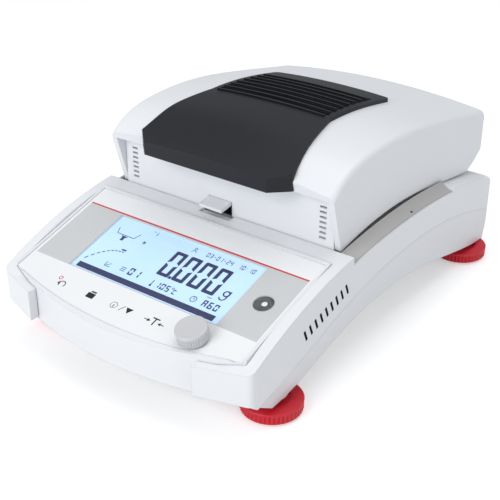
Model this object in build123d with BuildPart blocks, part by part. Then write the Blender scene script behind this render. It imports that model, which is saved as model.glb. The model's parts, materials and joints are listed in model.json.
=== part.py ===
"""Bench moisture analyzer: halogen dryer lid over a one-pan weigh chamber.

Frame: millimetres, +Z up, front towards -Y, origin on the bench under the middle of the
instrument. Everything is left-right symmetric about X = 0 except the level, the knob, the
lid tab and the rear sockets.
"""
from build123d import *
from math import cos, radians, sin, tan
import os

os.makedirs("parts", exist_ok=True)

# Overall housing
WIDTH = 210.0  # across the side walls
REAR_Y = 165.0  # flat rear face
FRONT_Y = -163.0  # foremost point of the bowed control front
BOW_R = 260.0  # plan radius of the control front
CORNER_R = 11.0  # vertical rear corners
SHOULDER_R = 4.0  # softened top edges at the rear
WALL = 2.5  # moulded housing wall
GAP = 0.3  # clearance between separate mouldings
HALF = WIDTH / 2
OVER = 2.0  # how far a cutting shape runs past what it cuts

# Arms beside the control module
ARM_INNER_X = 69.0  # where the arm's front return ends
ARM_IN_Y = -160.5
ARM_OUT_Y = -149.0
ARM_TOP_Z = 49.5  # top edge of the arm's front face
ARM_LOW_Z = 28.8  # its bottom edge
ARM_CORNER_R = 5.0

# Side outline of the housing, as (y, z) points
STATIONS = (-124.0, -98.0, -50.0, 0.0, 45.0, 112.0, 150.0, REAR_Y)
SEAM_START = (-144.0, 25.2)
SEAM_Z = (30.0, 36.5, 50.2, 58.6, 60.4, 52.2, 41.5, 36.5)
FLOOR_Z = (12.6, 15.5, 27.2, 33.0, 30.6, 18.0, 10.8, 9.8)
FACET_IN = 4.0  # how far the lower facet leans inward at its bottom edge

# Deck and side ledges under the lid
ARM_RISE = (-105.0, 69.5)
DECK_FRONT_Y = -43.2
DECK_FRONT_Z = 82.3
LEDGE_Z = 76.5
LEDGE_CREST = (28.0, 81.2)
LEDGE_REAR = (92.0, 77.6)
SHOULDER = (95.5, 79.7)
SHOULDER_END = (150.0, 69.5)
SHOULDER_REAR_Z = 61.0

# Control module
PANEL_Y = -75.4  # the panel plane passes through this height above this line
PANEL_Z = 75.8
PANEL_TILT = 16.36
CONTROL_HALF = 97.0
CONTROL_BACK_Y = -57.5
CONTROL_LOW_Z = 26.5
OVERLAY_HALF = 95.0
OVERLAY_BACK_V = 16.0
OVERLAY_SIDE_V = -73.0
OVERLAY_MID_V = -86.5
OVERLAY_T = 0.6
RIM_H = 0.9  # raised border round the overlay
DISPLAY_W = 125.0
DISPLAY_H = 54.5
DISPLAY_V = -28.7
WINDOW_T = 1.5
KEY_V = -72.3
KEY_U = (-53.7, -27.0, 0.0, 27.0)
KEY_NAMES = ("power_key", "print_key", "display_key", "tare_key")
KEY_R = 3.0
KNOB_U = 57.5
KNOB_V = -71.0
KNOB_R = 10.3
KNOB_H = 9.5
KNOB_GROOVES = 40
KNOB_PRESS = 1.0
ENCODER_R = 3.0
LEVEL_U = 78.3
LEVEL_V = -28.4
LEVEL_R = 7.1

# Lid
LID_HALF = 93.5
LID_WALL = 2.4
LID_CROWN = 7.0  # middle of the top above its side edges
LID_EDGE_R = 5.0
LID_REAR_Y = 157.0
LID_FOOT = (-40.5, 81.4)
LID_BROW = (-52.0, 121.5)
LID_TOP = ((-44.0, 128.0), (-29.0, 134.3), (-12.0, 137.2), (10.0, 138.4), (40.0, 137.2),
           (75.0, 132.4), (115.0, 125.0))
LID_REAR_Z = 117.0
LID_ARCH = ((-20.0, 85.4), (12.0, 88.4), (52.0, 87.2), (98.0, 80.6))
LID_HEEL = (136.0, 75.4)
NOTCH = (148.0, 81.0)
NOTCH_Z = 87.0
LID_FRONT_Y = -42.3  # front face of the recessed front panel
FRONT_PANEL_T = 2.5
VISOR_Z = 118.0  # underside of the visor over it
FRONT_PANEL_HALF = 89.0
TAB_X = -3.0
TAB_W = 20.0
TAB_OUT = 11.0
VENT_X = 80.0
VENT_TOP_Z = 109.5
VENT_PITCH = 3.6
VENT_COUNT = 7

# Black heater cover on the lid
COVER_RISE = 2.6
COVER_FRONT_Y = -63.5
COVER_FRONT_HALF = 51.0
COVER_WIDE_HALF = 63.0
COVER_WIDE_Y = -52.0
COVER_REAR_HALF = 50.0
COVER_TAPER_Y = 9.0
COVER_REAR_Y = 88.0
LOUVRE_Y = 14.0
LOUVRE_PITCH = 7.6
LOUVRE_COUNT = 8
LOUVRE_HALF = 46.0
LOUVRE_SLOT = 3.4

# Hinge of the lid, a line along X
HINGE_Y = 146.0
HINGE_Z = 84.0
HINGE_X = 62.0  # middle of each hinge
PIN_R = 2.5
KNUCKLE_R = 4.5
KNUCKLE_W = 10.0
LUG_T = 4.0
RUN = 0.06  # radial running clearance

# Drying chamber
PAN_Y = 38.0
DECK_Z = 72.0  # underside of the chamber deck plate
DECK_T = 1.6
SHIELD_R = 56.0
SHIELD_T = 1.4
PAN_R = 45.0
PAN_H = 7.0
PAN_RIM = 2.5
PAN_T = 0.6
PAN_SEAT_Z = 83.0
GLASS_R = 62.0
GLASS_T = 3.0
LAMP_R = 44.0
LAMP_TUBE = 5.0
LAMP_SIDES = 12  # the ring tube's section is kept to few sides

# Levelling feet
FOOT_X = 90.5
FOOT_Y = (-110.0, 145.0)
WHEEL_R = 20.6
WHEEL_H = 8.0
WHEEL_LOW = 1.2
WHEEL_GROOVES = 36
STUD_R = 4.0
PAD_R = 9.0
INSERT_R = 7.5
INSERT_LOW = 12.0
INSERT_H = 12.0

TRAY_EDGE = 0.05  # depth of the tray at the outer face, as a share of its full depth
TRAY_HOLLOW_Y = -128.0
POSTS = ((-70.0, -24.0), (70.0, -24.0), (-70.0, 100.0), (70.0, 100.0))
POST_R = 4.5
SCREW_R = 1.5
SCREW_L = 8.0
SCREW_HEAD_R = 3.0
SCREW_HEAD_H = 2.0

# Openings in the upper housing
OPENING_W = 156.0
OPENING_D = 146.0
OPENING_R = 12.0
SLOT_COUNT = 9
SLOT_Y = -96.0  # middle of the lowest slot
SLOT_Z = 51.5
SLOT_PITCH = 5.7
SLOT_CLIMB = 1.4
SLOT_W = 1.9
SLOT_H = 8.0
SLOT_LEAN = 22.0
SOCKET_Z = 48.0
SOCKETS = ((-58.0, 27.5, 19.5), (18.0, 31.0, 12.5), (58.0, 12.5, 11.5))  # power, serial, USB
SCOOP_R = 14.0
SCOOP_DEPTH = 2.0
SCOOP_W = 26.0

# Heating unit inside the lid
LINER_Z = 96.0
LINER_T = 2.0
LINER_REAR_Y = 136.0
LINER_HOLE_R = 58.0
LINER_POSTS = ((-80.0, -30.0), (80.0, -30.0), (-80.0, 120.0), (80.0, 120.0))
RETAINER_T = 2.0
RETAINER_R = 66.0
REFLECTOR_H = 16.0
REFLECTOR_T = 1.0
SENSOR_R = 2.0
SENSOR_DROP = 8.0

# Weighing system
CELL_L = 78.0
CELL_W = 26.0
CELL_H = 24.0
CELL_FREE_Y = 30.0  # front end of the cell, under the pan
CELL_Z = 42.0
CHASSIS_Z = max(FLOOR_Z) + WALL
CHASSIS_T = 3.0
STAGE_TRAVEL = 0.3
STEM_SINK = 8.0  # how deep the pan stem stands in the free end of the cell

# Inside of the control module
CONTROL_BACK_Z = 66.0
CONTROL_STEP_Y = -62.0
OVERLAY_FIT = 0.15
BUSH_R = 6.0
INNER_UP = -(WALL + OVERLAY_T) * cos(radians(PANEL_TILT))  # underside of the panel wall
LCD_FRAME = 7.0
LCD_T = 4.0
BACKLIGHT_T = 3.0
LEVEL_H = 8.0
LEVEL_SINK = 0.8
BOARD_UP = -12.0
BOARD_W = 140.0
BOARD_D = 16.0
BOARD_T = 1.6
SWITCH_H = 3.5
KEY_CLEAR = 0.1
ENCODER_H = 5.5
ENCODER_W = 13.0
PLUNGER_H = 2.4
KNOB_TOP = 1.8  # solid cap of the knob
KNOB_EDGE = 0.6
GROOVE_R = 0.5

# Lid details
NOTCH_H = 10.5
TAB_T = 2.2
TAB_DROP = 2.0
TAB_RISE = 4.0
VENT_W = 5.0
VENT_H = 1.5
COVER_NOSE_Z = 123.2
COVER_LOW_Z = 119.0
COVER_CORNER_R = 4.0
LOUVRE_SPAN = LOUVRE_COUNT * LOUVRE_PITCH
LOUVRE_MID_Y = LOUVRE_Y + (LOUVRE_COUNT - 1) * LOUVRE_PITCH / 2
BLADE_T = 1.4
BLADE_RISE = 1.2
BLADE_LEAN = 25.0
BLADE_Z = 142.0
BLADE_L = 24.0
REFLECTOR_NECK = 56.0
SOCKET_X = 10.0
SOCKET_R = 5.0
SOCKET_H = 8.0
LAMP_LEG_R = 4.0
LAMP_CAP_R = 7.0
LAMP_DROP = 6.5
LUG_ROOT = 6.0
LUG_BACK = 3.0  # depth of the lug behind the pin, clear of the raised lid's rear wall
LEAF_L = 24.0
LEAF_T = 2.0

# Boards, supply and sockets
MAIN_BOARD_Y = -100.0
MAIN_BOARD_Z = 34.0
MAIN_BOARD_W = 150.0
MAIN_BOARD_D = 60.0
BOARD_POSTS = ((-65.0, -120.0), (65.0, -120.0), (-65.0, -80.0), (65.0, -80.0))
BOARD_POST_R = 3.0
CHIP_X = -40.0
CHIP_W = 24.0
CHIP_H = 3.0
PLUG_X = 20.0
PLUG_L = 40.0
PLUG_W = 8.0
PLUG_H = 9.0
POWER_X = -44.0
POWER_Y = 132.0
POWER_W = 44.0
POWER_D = 32.0
POWER_TOP = 38.0
POWER_EDGE = 2.0
SOCKET_NAMES = ("power_inlet", "serial_port", "usb_port")
SOCKET_DEPTH = 14.0
SOCKET_RIM = 2.0
SOCKET_RECESS = 9.8

# Foot details
WHEEL_EDGE = 0.8
WHEEL_LIP = 1.8  # plain rim over the flutes
FLUTE_R = 0.9
STUD_L = 20.0
PAD_T = 1.8
PAD_PIN_R = 2.5
PAD_PIN_H = 6.0

# Grey channel strips
TRIM_IN = 95.0
TRIM_MID = 98.5
TRIM_OUT = 104.0
TRIM_H = 6.0
TRIM_DIP = 2.0
TRIM_EDGE = 0.6

# Chassis and pan parts
CHASSIS_Y = 42.0
CHASSIS_W = 160.0
CHASSIS_D = 132.0
CHASSIS_R = 6.0
CELL_FOOT = 22.0
CELL_WINDOW = 30.0
CELL_BORE_R = 7.0
FLEXURE_T = 1.6
DECK_LAP = 8.0
STEM_R = 4.0
STEM_CLEAR = 2.0
SPIDER_T = 2.0
SPIDER_R = 36.0
SPIDER_W = 6.0
SPIDER_HUB_R = 9.0
HANDLER_T = 2.4
HANDLER_LAP = 2.0
HANDLER_W = 16.0
HANDLER_L = 10.0
HANDLER_CLEAR = 0.5  # under the pan's rim while the pan stands on its support
HANDLER_Z = PAN_SEAT_Z + PAN_H - PAN_T - HANDLER_CLEAR - HANDLER_T
SHIELD_H = HANDLER_Z - DECK_Z - DECK_T
LID_SHARES = (-1, -0.6, 0, 0.6, 1)  # sections of the lid, as shares of its half width
COVER_SHARES = (-1, -0.5, 0, 0.5, 1)
COVER_LOFT_HALF = COVER_WIDE_HALF + OVER

MIRROR_X = (-1, 1)
BIG = 400.0  # longer than anything it cuts
UP = (Align.CENTER, Align.CENTER, Align.MIN)
DOWN = (Align.CENTER, Align.CENTER, Align.MAX)
BACK_DOWN = (Align.CENTER, Align.MAX, Align.MAX)


def bow_y(x, radius=BOW_R):
    """Y of the bowed front at X, on an arc concentric with the control front."""
    return FRONT_Y + BOW_R - (radius**2 - x**2) ** 0.5


def panel_plane(u, v, up):
    """Plane on the sloped panel: u across, v up the slope, up off the surface."""
    slope = radians(PANEL_TILT)
    point = (
        u,
        PANEL_Y + v * cos(slope) - up * sin(slope),
        PANEL_Z + v * sin(slope) + up * cos(slope),
    )
    return Plane(origin=point, x_dir=(1, 0, 0), z_dir=(0, -sin(slope), cos(slope)))


def panel_z(y):
    """Height of the panel plane at Y."""
    return PANEL_Z + (y - PANEL_Y) * tan(radians(PANEL_TILT))


def finish(part, label):
    """Label a piece and write it."""
    part.label = label
    export_step(part, f"parts/{label}.step")


def housing_plan(inset, z=0.0):
    """Plan outline of the whole housing: rounded rear, arms angled back at the front."""
    x = HALF - inset
    y = REAR_Y - inset
    with BuildSketch(Plane.XY.offset(z)) as plan:
        with BuildLine():
            Polyline(
                (-x, y), (-x, ARM_OUT_Y + inset), (-ARM_INNER_X, ARM_IN_Y + inset),
                (ARM_INNER_X, ARM_IN_Y + inset), (x, ARM_OUT_Y + inset), (x, y), close=True,
            )
        make_face()
        fillet(plan.vertices().group_by(Axis.Y)[-1], CORNER_R - inset)
        fillet(plan.vertices().filter_by(lambda p: abs(abs(p.X) - x) < 1 and p.Y < 0), ARM_CORNER_R)
    return plan.sketch


def control_plan(grow, z=0.0):
    """Plan outline of the control module, bowed at the front."""
    x = CONTROL_HALF + grow
    side = bow_y(x, BOW_R + grow)
    back = CONTROL_BACK_Y + grow
    with BuildSketch(Plane.XY.offset(z)) as plan:
        with BuildLine():
            ThreePointArc((-x, side), (0, FRONT_Y - grow), (x, side))
            Polyline((x, side), (x, back), (-x, back), (-x, side))
        make_face()
    return plan.sketch


# Base tray: arched floor, with a lower facet on each side that leans inward
def tray_section(x, lift, reach):
    """Side section of the tray at X: reach 1 is the full depth, 0 would be the seam alone."""
    seam = [SEAM_START] + list(zip(STATIONS, SEAM_Z))
    floor = [(y, top + (low + lift - top) * reach) for y, top, low in zip(STATIONS, SEAM_Z, FLOOR_Z)]
    with BuildSketch(Plane.YZ.offset(x)) as section:
        with BuildLine():
            Line(SEAM_START, floor[0])
            Spline(*floor)
            Line(floor[-1], seam[-1])
            Spline(*seam)
        make_face()
    return section.sketch


def foot_places():
    """Centres of the four feet."""
    return [(side * FOOT_X, y) for y in FOOT_Y for side in MIRROR_X]


with BuildPart() as tray_hollow:
    extrude(tray_section(0, WALL, 1), HALF - FACET_IN - WALL, both=True)
    for side in MIRROR_X:
        inner = side * (HALF - FACET_IN - WALL)
        outer = side * (HALF - WALL)
        loft([tray_section(inner, WALL, 1), tray_section(outer, WALL, TRAY_EDGE)], ruled=True)
    extrude(housing_plan(WALL), BIG, mode=Mode.INTERSECT)
    with Locations((0, TRAY_HOLLOW_Y - BIG / 2, 0)):
        Box(BIG, BIG, BIG, mode=Mode.SUBTRACT)

with BuildPart() as base_tray:
    extrude(tray_section(0, 0, 1), HALF - FACET_IN, both=True)
    for side in MIRROR_X:
        inner = side * (HALF - FACET_IN)
        loft([tray_section(inner, 0, 1), tray_section(side * HALF, 0, TRAY_EDGE)], ruled=True)
    extrude(housing_plan(0), BIG, mode=Mode.INTERSECT)
    add(tray_hollow.part, mode=Mode.SUBTRACT)
    # Foot bosses with a seat for the threaded insert, posts under the deck plate and the board
    for x, y in foot_places():
        with BuildSketch(Plane.XY.offset(INSERT_LOW + INSERT_H)):
            with Locations((x, y)):
                Circle(INSERT_R + WALL)
        extrude(amount=-INSERT_H)
    with BuildSketch(Plane.XY.offset(DECK_Z)):
        with Locations(*POSTS):
            Circle(POST_R)
    extrude(until=Until.NEXT, dir=(0, 0, -1))
    with BuildSketch(Plane.XY.offset(MAIN_BOARD_Z)):
        with Locations(*BOARD_POSTS):
            Circle(BOARD_POST_R)
    extrude(until=Until.NEXT, dir=(0, 0, -1))
    with Locations(*[(x, y, DECK_Z) for x, y in POSTS]):
        Cylinder(SCREW_R + RUN, SCREW_L + GAP, align=DOWN, mode=Mode.SUBTRACT)
    for x, y in foot_places():
        with Locations((x, y, INSERT_LOW)):
            Cylinder(INSERT_R, BIG, align=UP, mode=Mode.SUBTRACT)
        with Locations((x, y, 0)):
            Cylinder(STUD_R + GAP, BIG, align=UP, mode=Mode.SUBTRACT)
finish(base_tray.part, "base_tray")


# Upper housing: side arms, deck, side ledges and the shoulder behind the lid
def housing_section(drop, low):
    """Side section of the upper housing, its top lowered by drop, its bottom at low or the seam."""
    front = FRONT_Y - OVER
    rear_y = REAR_Y + OVER
    with BuildSketch(Plane.YZ) as section:
        with BuildLine():
            top_start = (front, ARM_TOP_Z - drop)
            arm_top = (ARM_OUT_Y - OVER, ARM_TOP_Z + OVER / 2 - drop)
            deck = (DECK_FRONT_Y - drop / 2, DECK_FRONT_Z - drop)
            ledge = (DECK_FRONT_Y - drop / 2, LEDGE_Z - drop)
            ledge_rear = (LEDGE_REAR[0] + drop / 2, LEDGE_REAR[1] - drop)
            shoulder = (SHOULDER[0] + drop / 2, SHOULDER[1] - drop)
            shoulder_end = (SHOULDER_END[0], SHOULDER_END[1] - drop)
            Line(top_start, arm_top)
            ThreePointArc(arm_top, (ARM_RISE[0], ARM_RISE[1] - drop), deck)
            Line(deck, ledge)
            ThreePointArc(ledge, (LEDGE_CREST[0], LEDGE_CREST[1] - drop), ledge_rear)
            Line(ledge_rear, shoulder)
            Line(shoulder, shoulder_end)
            Line(shoulder_end, (rear_y, SHOULDER_REAR_Z - drop))
            if low is None:
                Line((rear_y, SHOULDER_REAR_Z), (rear_y, SEAM_Z[-1]))
                Line((rear_y, SEAM_Z[-1]), (REAR_Y, SEAM_Z[-1]))
                Spline(*([SEAM_START] + list(zip(STATIONS, SEAM_Z))))
                Line(SEAM_START, (ARM_OUT_Y, ARM_LOW_Z))
                Line((ARM_OUT_Y, ARM_LOW_Z), (front, ARM_LOW_Z))
                Line((front, ARM_LOW_Z), top_start)
            else:
                Polyline((rear_y, SHOULDER_REAR_Z - drop), (rear_y, low), (front, low), top_start)
        make_face()
    return section.sketch


with BuildPart() as housing_hollow:
    extrude(housing_section(WALL, 0.0), HALF, both=True)
    extrude(housing_plan(WALL), BIG, mode=Mode.INTERSECT)
    with Locations((0, ARM_OUT_Y + WALL - BIG / 2, 0)):
        Box(BIG, BIG, BIG, mode=Mode.SUBTRACT)

with BuildPart() as upper_housing:
    extrude(housing_section(0, None), HALF, both=True)
    extrude(housing_plan(0), BIG, mode=Mode.INTERSECT)
    # Softened top edges round the rear shoulder
    rear_edges = upper_housing.edges().filter_by(
        lambda e: e.center().Z > SHOULDER_REAR_Z - ARM_CORNER_R and e.center().Y > SHOULDER_END[0]
    )
    fillet(rear_edges, SHOULDER_R)
    add(housing_hollow.part, mode=Mode.SUBTRACT)
    extrude(control_plan(GAP), BIG, mode=Mode.SUBTRACT)
    # Opening over the chamber deck
    with BuildSketch(Plane.XY.offset(DECK_Z)):
        with Locations((0, PAN_Y)):
            RectangleRounded(OPENING_W, OPENING_D, OPENING_R)
    extrude(amount=BIG, mode=Mode.SUBTRACT)
    # Cooling slots in both arms
    for count in range(SLOT_COUNT):
        y = SLOT_Y + count * SLOT_PITCH
        z = SLOT_Z + count * SLOT_CLIMB
        with Locations(Location((0, y, z), (SLOT_LEAN, 0, 0))):
            Box(BIG, SLOT_W, SLOT_H, mode=Mode.SUBTRACT)
    # Rear openings for the sockets
    for x, width, height in SOCKETS:
        with Locations((x, REAR_Y, SOCKET_Z)):
            Box(width + 2 * GAP, 4 * WALL, height + 2 * GAP, mode=Mode.SUBTRACT)
    # Scoop under the lid's tab
    with Locations((TAB_X, CONTROL_BACK_Y + SCOOP_R, DECK_FRONT_Z + SCOOP_R - SCOOP_DEPTH)):
        Cylinder(SCOOP_R, SCOOP_W, rotation=(0, 90, 0), mode=Mode.SUBTRACT)
finish(upper_housing.part, "upper_housing")


# Control module: bowed front, sloped top with a raised rim round the overlay
def control_section(drop):
    """Side section of the control housing under its sloped top."""
    front = FRONT_Y - OVER
    with BuildSketch(Plane.YZ) as section:
        with BuildLine():
            Polyline(
                (front, CONTROL_LOW_Z), (front, panel_z(front) + RIM_H - drop),
                (CONTROL_BACK_Y, panel_z(CONTROL_BACK_Y) + RIM_H - drop),
                (CONTROL_BACK_Y, CONTROL_BACK_Z), (CONTROL_STEP_Y, CONTROL_BACK_Z),
                (CONTROL_STEP_Y, CONTROL_LOW_Z), close=True,
            )
        make_face()
    return section.sketch


def overlay_outline(grow, up):
    """Outline of the printed overlay on the sloped panel, straight sides and a bowed front."""
    half = OVERLAY_HALF + grow
    back = OVERLAY_BACK_V + grow
    with BuildSketch(panel_plane(0, 0, up)) as outline:
        with BuildLine():
            ThreePointArc((-half, OVERLAY_SIDE_V - grow), (0, OVERLAY_MID_V - grow),
                          (half, OVERLAY_SIDE_V - grow))
            Polyline((half, OVERLAY_SIDE_V - grow), (half, back), (-half, back),
                     (-half, OVERLAY_SIDE_V - grow))
        make_face()
    return outline.sketch


with BuildPart() as control_hollow:
    extrude(control_section(WALL + RIM_H + OVERLAY_T), CONTROL_HALF - WALL, both=True)
    extrude(control_plan(-WALL), BIG, mode=Mode.INTERSECT)

with BuildPart() as control_housing:
    extrude(control_section(0), CONTROL_HALF, both=True)
    extrude(control_plan(0), BIG, mode=Mode.INTERSECT)
    add(control_hollow.part, mode=Mode.SUBTRACT)
    extrude(overlay_outline(OVERLAY_FIT, -OVERLAY_T), 2 * WALL, mode=Mode.SUBTRACT)
    with BuildSketch(panel_plane(0, DISPLAY_V, 0)):
        Rectangle(DISPLAY_W, DISPLAY_H)
    extrude(amount=-LEVEL_H - 2 * WALL, mode=Mode.SUBTRACT)
    with BuildSketch(panel_plane(0, 0, 0)):
        with Locations(*[(u, KEY_V) for u in KEY_U]):
            Circle(KEY_R + GAP)
        with Locations((KNOB_U, KNOB_V)):
            Circle(BUSH_R + RUN)
        with Locations((LEVEL_U, LEVEL_V)):
            Circle(LEVEL_R + WALL)
    extrude(amount=-LEVEL_H - 2 * WALL, mode=Mode.SUBTRACT)
    extrude(tray_section(0, 0, 1), HALF, both=True, mode=Mode.SUBTRACT)
finish(control_housing.part, "control_housing")


# Overlay, display and level in the sloped panel
with BuildPart() as control_overlay:
    extrude(overlay_outline(0, -OVERLAY_T), OVERLAY_T)
    with BuildSketch(panel_plane(0, 0, -OVERLAY_T)):
        with Locations((0, DISPLAY_V)):
            Rectangle(DISPLAY_W, DISPLAY_H)
        with Locations((KNOB_U, KNOB_V)):
            Circle(BUSH_R + GAP)
        with Locations((LEVEL_U, LEVEL_V)):
            Circle(LEVEL_R)
    extrude(amount=OVERLAY_T, mode=Mode.SUBTRACT)
finish(control_overlay.part, "control_overlay")

with BuildPart() as display_window:
    with BuildSketch(panel_plane(0, DISPLAY_V, -WINDOW_T)):
        Rectangle(DISPLAY_W - GAP, DISPLAY_H - GAP)
    extrude(amount=WINDOW_T)
finish(display_window.part, "display_window")

with BuildPart() as lcd_module:
    with BuildSketch(panel_plane(0, DISPLAY_V, INNER_UP)):
        Rectangle(DISPLAY_W - GAP, DISPLAY_H - GAP)
    extrude(amount=-WINDOW_T - INNER_UP)
    with BuildSketch(panel_plane(0, DISPLAY_V, INNER_UP)):
        Rectangle(DISPLAY_W + LCD_FRAME, DISPLAY_H + LCD_FRAME)
    extrude(amount=-LCD_T)
finish(lcd_module.part, "lcd_module")

with BuildPart() as backlight_panel:
    with BuildSketch(panel_plane(0, DISPLAY_V, INNER_UP - LCD_T)):
        Rectangle(DISPLAY_W, DISPLAY_H)
    extrude(amount=-BACKLIGHT_T)
finish(backlight_panel.part, "backlight_panel")

with BuildPart() as level_vial:
    with BuildSketch(panel_plane(LEVEL_U, LEVEL_V, -LEVEL_H)):
        Circle(LEVEL_R)
    extrude(amount=LEVEL_H - LEVEL_SINK)
finish(level_vial.part, "level_vial")

with BuildPart() as level_holder:
    with BuildSketch(panel_plane(LEVEL_U, LEVEL_V, -LEVEL_H - WALL)):
        Circle(LEVEL_R + WALL)
    extrude(amount=LEVEL_H + WALL - OVERLAY_T)
    with BuildSketch(panel_plane(LEVEL_U, LEVEL_V, -LEVEL_H)):
        Circle(LEVEL_R)
    extrude(amount=LEVEL_H, mode=Mode.SUBTRACT)
finish(level_holder.part, "level_holder")


# Keys, encoder and knob
with BuildPart() as keypad_board:
    with BuildSketch(panel_plane(0, KEY_V, BOARD_UP)):
        Rectangle(BOARD_W, BOARD_D)
    extrude(amount=-BOARD_T)
    with BuildSketch(panel_plane(0, KEY_V, BOARD_UP)):
        with Locations(*[(u, 0) for u in KEY_U]):
            Rectangle(2 * KEY_R, 2 * KEY_R)
    extrude(amount=SWITCH_H)
finish(keypad_board.part, "keypad_board")

for name, u in zip(KEY_NAMES, KEY_U):
    with BuildPart() as key:
        with BuildSketch(panel_plane(u, KEY_V, BOARD_UP + SWITCH_H + GAP)):
            Circle(KEY_R)
        extrude(amount=-OVERLAY_T - KEY_CLEAR - BOARD_UP - SWITCH_H - GAP)
    finish(key.part, name)

with BuildPart() as encoder_body:
    with BuildSketch(panel_plane(KNOB_U, KNOB_V, BOARD_UP)):
        Rectangle(ENCODER_W, ENCODER_W)
    extrude(amount=ENCODER_H)
    with BuildSketch(panel_plane(KNOB_U, KNOB_V, BOARD_UP + ENCODER_H)):
        Circle(BUSH_R)
    extrude(amount=GAP - BOARD_UP - ENCODER_H)
    with BuildSketch(panel_plane(KNOB_U, KNOB_V, BOARD_UP)):
        Circle(ENCODER_R + RUN)
    extrude(amount=BIG, mode=Mode.SUBTRACT)
finish(encoder_body.part, "encoder_body")

with BuildPart() as encoder_plunger:
    with BuildSketch(panel_plane(KNOB_U, KNOB_V, BOARD_UP + KNOB_PRESS + KEY_CLEAR)):
        Circle(ENCODER_R)
    extrude(amount=PLUNGER_H)
finish(encoder_plunger.part, "encoder_plunger")

SHAFT_UP = BOARD_UP + KNOB_PRESS + KEY_CLEAR + PLUNGER_H
KNOB_UP = KNOB_PRESS + GAP + KEY_CLEAR
with BuildPart() as encoder_shaft:
    with BuildSketch(panel_plane(KNOB_U, KNOB_V, SHAFT_UP)):
        Circle(ENCODER_R)
    extrude(amount=KNOB_UP + KNOB_H - KNOB_TOP - SHAFT_UP)
finish(encoder_shaft.part, "encoder_shaft")

with BuildPart() as knob:
    with BuildSketch(panel_plane(KNOB_U, KNOB_V, KNOB_UP)):
        Circle(KNOB_R)
    extrude(amount=KNOB_H)
    fillet(knob.faces().sort_by(Axis.Z)[-1].edges(), KNOB_EDGE)
    with BuildSketch(panel_plane(KNOB_U, KNOB_V, KNOB_UP)):
        with PolarLocations(KNOB_R, KNOB_GROOVES):
            RegularPolygon(GROOVE_R, 4)
    extrude(amount=KNOB_H - KNOB_TOP, mode=Mode.SUBTRACT)
    with BuildSketch(panel_plane(KNOB_U, KNOB_V, KNOB_UP)):
        Circle(ENCODER_R)
    extrude(amount=KNOB_H - KNOB_TOP, mode=Mode.SUBTRACT)
finish(knob.part, "knob")


# Grey channel strips on the ledges beside the lid
TRIM_PATH = ThreePointArc(
    (0, DECK_FRONT_Y + GAP, LEDGE_Z), (0,) + LEDGE_CREST, (0, LEDGE_REAR[0] - GAP, LEDGE_REAR[1])
)
with BuildPart() as side_trims:
    for side in MIRROR_X:
        start = TRIM_PATH @ 0
        plane = Plane(origin=start, x_dir=(side, 0, 0), z_dir=TRIM_PATH % 0)
        with BuildSketch(plane) as strip:
            with BuildLine():
                up = 1 if plane.y_dir.Z > 0 else -1
                inner_top = (TRIM_IN, up * TRIM_H)
                outer = (TRIM_OUT, up * TRIM_EDGE)
                ThreePointArc(inner_top, (TRIM_MID, up * TRIM_DIP), outer)
                Polyline(outer, (TRIM_OUT, 0), (TRIM_IN, 0), inner_top)
            make_face()
        sweep(sections=strip.sketch, path=TRIM_PATH)
    extrude(housing_section(0, 0.0), HALF, both=True, mode=Mode.SUBTRACT)
finish(side_trims.part, "side_trims")


# Weighing system on the chassis
with BuildPart() as chassis_plate:
    with BuildSketch(Plane.XY.offset(CHASSIS_Z)):
        with Locations((0, CHASSIS_Y)):
            RectangleRounded(CHASSIS_W, CHASSIS_D, CHASSIS_R)
        with Locations(*POSTS):
            Circle(POST_R + GAP, mode=Mode.SUBTRACT)
    extrude(amount=CHASSIS_T)
    extrude(tray_section(0, 0, 1), HALF, both=True, mode=Mode.INTERSECT)
    add(base_tray.part, mode=Mode.SUBTRACT)
finish(chassis_plate.part, "chassis_plate")

CELL_REAR_Y = CELL_FREE_Y + CELL_L
with BuildPart() as cell_bracket:
    with Locations((0, CELL_REAR_Y - CELL_FOOT / 2, CHASSIS_Z + CHASSIS_T)):
        Box(CELL_W, CELL_FOOT, CELL_Z - CHASSIS_Z - CHASSIS_T, align=UP)
finish(cell_bracket.part, "cell_bracket")

with BuildPart() as weigh_cell:
    with Locations((0, CELL_FREE_Y + CELL_L / 2, CELL_Z)):
        Box(CELL_W, CELL_L, CELL_H, align=UP)
    # Parallel-guide windows: two round bores joined by a slot leave four thin flexures
    with BuildSketch(Plane.YZ.offset(-CELL_W / 2)):
        with Locations((CELL_FREE_Y + CELL_L / 2, CELL_Z + CELL_H / 2)):
            Rectangle(CELL_WINDOW, CELL_BORE_R)
            for end in MIRROR_X:
                with Locations((end * CELL_WINDOW / 2, 0)):
                    Circle(CELL_H / 2 - FLEXURE_T)
    extrude(amount=CELL_W, mode=Mode.SUBTRACT)
    with Locations((0, PAN_Y, CELL_Z + CELL_H)):
        Cylinder(STEM_R + RUN, STEM_SINK + STAGE_TRAVEL + GAP, align=DOWN, mode=Mode.SUBTRACT)
finish(weigh_cell.part, "weigh_cell")

with BuildPart() as chamber_deck:
    with BuildSketch(Plane.XY.offset(DECK_Z)):
        with Locations((0, PAN_Y)):
            RectangleRounded(OPENING_W + DECK_LAP, OPENING_D + DECK_LAP, OPENING_R)
        with Locations((0, PAN_Y)):
            Circle(STEM_R + STEM_CLEAR, mode=Mode.SUBTRACT)
        with Locations(*POSTS):
            Circle(SCREW_R + RUN, mode=Mode.SUBTRACT)
    extrude(amount=DECK_T)
    with BuildSketch(Plane.XY.offset(DECK_Z + DECK_T)):
        with Locations((0, PAN_Y)):
            Circle(SHIELD_R - SHIELD_T - GAP)
            Circle(SHIELD_R - SHIELD_T - GAP - DECK_T, mode=Mode.SUBTRACT)
    extrude(amount=DECK_T)
finish(chamber_deck.part, "chamber_deck")

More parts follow.
